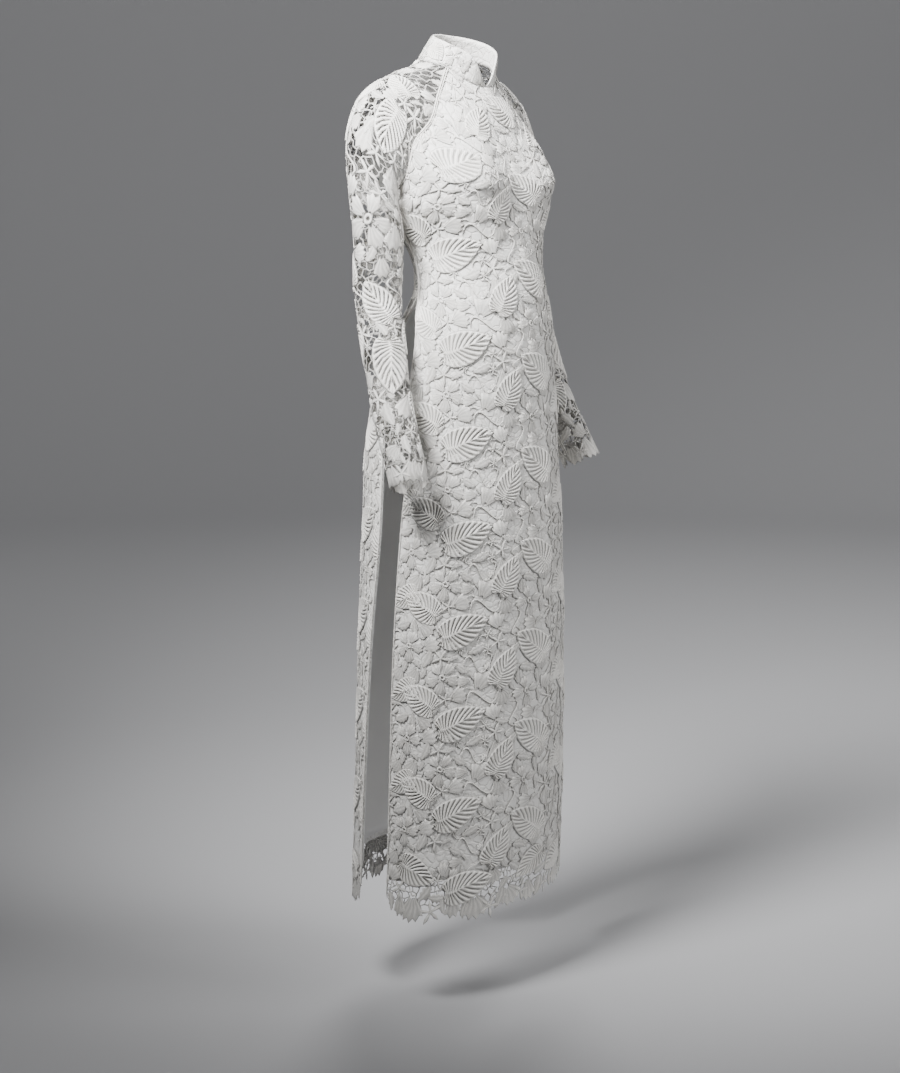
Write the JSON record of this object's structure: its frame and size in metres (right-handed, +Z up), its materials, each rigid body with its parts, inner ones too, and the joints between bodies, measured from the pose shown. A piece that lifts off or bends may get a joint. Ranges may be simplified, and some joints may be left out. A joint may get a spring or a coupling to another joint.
{
  "type": "lace tunic",
  "caption": "Long fitted lace tunic with a stand collar, long raglan lace sleeves, a satin-lined front and back panel parted at both sides below the waist, and petal-cut hem and cuffs.",
  "frame": {"origin": "middle of the neck seam, where the tunic hangs from the wearer's neck and shoulders", "axes": "+Z up along the neck towards the head, -Y out of the front of the tunic, -X towards its own right sleeve"},
  "size_m": [0.502, 0.3105, 1.411],
  "materials": {
    "lace": "matte corded lace",
    "lining": "smooth satin"
  },
  "bodies": {
    "root": {"collar": "lace", "lace_back": "lace", "lace_front": "lace", "lining_back": "lining", "lining_front": "lining", "sleeve_left_back": "lace", "sleeve_left_front": "lace", "sleeve_right_back": "lace", "sleeve_right_front": "lace"}
  },
  "joints": []
}
